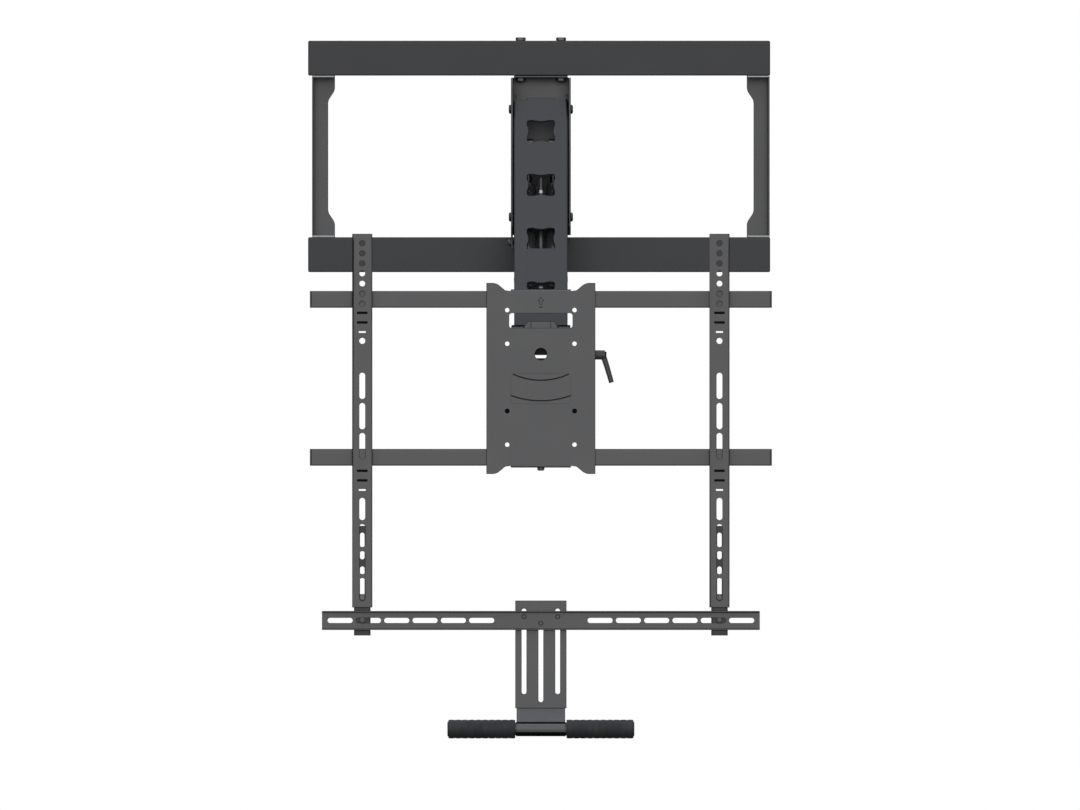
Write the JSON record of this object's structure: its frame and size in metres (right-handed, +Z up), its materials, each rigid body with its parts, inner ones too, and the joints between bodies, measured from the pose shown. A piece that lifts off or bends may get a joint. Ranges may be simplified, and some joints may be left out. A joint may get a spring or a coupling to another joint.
{
  "type": "pull-down television wall mount",
  "caption": "Wall mount that lowers a television on a sprung parallel arm pair, with swivel, tilt, level and a pull handle.",
  "frame": {"origin": "centre of the wall frame's back face, on the wall", "axes": "+X to the viewer's right, +Y into the wall, +Z up"},
  "size_m": [0.6892, 0.5408, 1.0419],
  "materials": {
    "grey_powder_coat": "fine textured powder coat, dark grey",
    "black_powder_coat": "fine textured powder coat, near black",
    "cover_paint": "smooth satin paint, near black",
    "zinc_steel": "bright zinc plate",
    "black_steel": "black oxide",
    "spring_black": "gloss black tube",
    "nitrided_rod": "black nitrided steel",
    "bush_plastic": "acetal",
    "lever_plastic": "moulded, fine grain",
    "cap_plastic": "moulded",
    "grip_rubber": "ribbed, matt"
  },
  "bodies": {
    "wall_frame": {"wall_rail_top": "black_powder_coat", "wall_rail_bottom": "black_powder_coat", "rail_cover_top": "cover_paint", "rail_cover_bottom": "cover_paint", "side_plate_left": "grey_powder_coat", "side_plate_right": "grey_powder_coat", "column": "grey_powder_coat", "column_bolts": "black_steel", "side_plate_bolts": "black_steel", "upper_wall_pivots": "black_steel", "lower_wall_shaft": "black_steel", "spring_seat_pin": "black_steel", "travel_stop_bolt": "black_steel"},
    "upper_arm": {"upper_arm": "black_powder_coat", "upper_arm_bushes": "bush_plastic", "spring_arm_pin": "zinc_steel", "tension_block": "black_steel", "tension_screw": "zinc_steel", "arm_insert": "black_powder_coat"},
    "lower_arm": {"lower_arm": "black_powder_coat", "lower_arm_bushes": "bush_plastic"},
    "spring_cylinders": {"spring_cylinders": "spring_black"},
    "spring_rods": {"spring_rods": "nitrided_rod"},
    "head": {"head": "black_powder_coat", "upper_head_shaft": "black_steel", "lower_head_shaft": "black_steel", "swivel_pin": "black_steel"},
    "swivel": {"swivel_bracket": "grey_powder_coat", "tilt_bolt_left": "black_steel"},
    "clamp_lever": {"clamp_lever": "lever_plastic"},
    "tilt": {"tilt_plate": "grey_powder_coat"},
    "television_plate": {"tv_plate": "grey_powder_coat", "roll_bush": "zinc_steel", "level_bolts": "black_steel", "plate_lip_screw": "black_steel", "tube_top": "grey_powder_coat", "tube_bottom": "grey_powder_coat", "tube_caps": "cap_plastic"},
    "bracket_left": {"tv_bracket_left": "grey_powder_coat", "bracket_clamps_left": "black_powder_coat", "clamp_screws_left": "zinc_steel", "extension_bolts_left": "black_steel"},
    "bracket_right": {"tv_bracket_right": "grey_powder_coat", "bracket_clamps_right": "black_powder_coat", "clamp_screws_right": "zinc_steel", "extension_bolts_right": "black_steel"},
    "crossbar": {"crossbar": "grey_powder_coat", "handle_bolts": "black_steel"},
    "extension_left": {"extension_left": "black_powder_coat", "crossbar_bolts_left": "black_steel"},
    "extension_right": {"extension_right": "black_powder_coat", "crossbar_bolts_right": "black_steel"},
    "handle": {"handle_plate": "grey_powder_coat", "handle_bar": "black_steel", "grip_left": "grip_rubber", "grip_right": "grip_rubber", "bar_caps": "cap_plastic"}
  },
  "joints": [
    {"name": "lift", "type": "hinge", "parent": "wall_frame", "child": "upper_arm", "pos_m": [0, -0.062, 0.07], "axis": [-1, 0, 0], "range_deg": [0, 135]},
    {"name": "lower_arm_pivot", "type": "hinge", "parent": "wall_frame", "child": "lower_arm", "pos_m": [0, -0.112, -0.09], "axis": [-1, 0, 0], "range_deg": [0, 135]},
    {"name": "head_level", "type": "hinge", "parent": "upper_arm", "child": "head", "pos_m": [0, -0.34868, -0.27166], "axis": [-1, 0, 0], "range_deg": [-135, 0]},
    {"name": "spring_pivot", "type": "hinge", "parent": "upper_arm", "child": "spring_cylinders", "pos_m": [0, -0.27412, -0.1828], "axis": [-1, 0, 0], "range_deg": [-5.91, 0]},
    {"name": "spring_stroke", "type": "slide", "parent": "spring_cylinders", "child": "spring_rods", "axis": [0, 0.7228, 0.691], "range_m": [0, 0.0881]},
    {"name": "swivel", "type": "hinge", "parent": "head", "child": "swivel", "pos_m": [0, -0.44668, -0.29496], "axis": [0, 0, 1], "range_deg": [-30, 30]},
    {"name": "tilt", "type": "hinge", "parent": "swivel", "child": "tilt", "pos_m": [0, -0.46968, -0.29496], "axis": [1, 0, 0], "range_deg": [-8, 5]},
    {"name": "clamp_lever_turn", "type": "hinge", "parent": "swivel", "child": "clamp_lever", "pos_m": [0.09, -0.46968, -0.29496], "axis": [1, 0, 0], "range_deg": [-60, 90]},
    {"name": "roll", "type": "hinge", "parent": "tilt", "child": "television_plate", "pos_m": [0, -0.48168, -0.29376], "axis": [0, 1, 0], "range_deg": [-3, 3]},
    {"name": "bracket_left_slide", "type": "slide", "parent": "television_plate", "child": "bracket_left", "axis": [1, 0, 0], "range_m": [-0.004, 0.022]},
    {"name": "bracket_right_slide", "type": "slide", "parent": "television_plate", "child": "bracket_right", "axis": [-1, 0, 0], "range_m": [-0.004, 0.022]},
    {"name": "handle_extension", "type": "slide", "parent": "television_plate", "child": "crossbar", "axis": [0, 0, -1], "range_m": [0, 0.03]},
    {"name": "extension_left_follow", "type": "slide", "parent": "crossbar", "child": "extension_left", "axis": [1, 0, 0], "range_m": [-0.004, 0.022]},
    {"name": "extension_right_follow", "type": "slide", "parent": "crossbar", "child": "extension_right", "axis": [-1, 0, 0], "range_m": [-0.004, 0.022]},
    {"name": "handle_height", "type": "slide", "parent": "crossbar", "child": "handle", "axis": [0, 0, 1], "range_m": [0, 0.108]}
  ],
  "couplings": [
    {"joint": "lower_arm_pivot", "follows": "lift", "ratio": 1},
    {"joint": "head_level", "follows": "lift", "ratio": -1},
    {"joint": "spring_pivot", "follows": "lift", "ratio": -0.041705},
    {"joint": "spring_stroke", "follows": "lift", "m_per_rad": 0.036657},
    {"joint": "extension_left_follow", "follows": "bracket_left_slide", "ratio": 1},
    {"joint": "extension_right_follow", "follows": "bracket_right_slide", "ratio": 1}
  ]
}
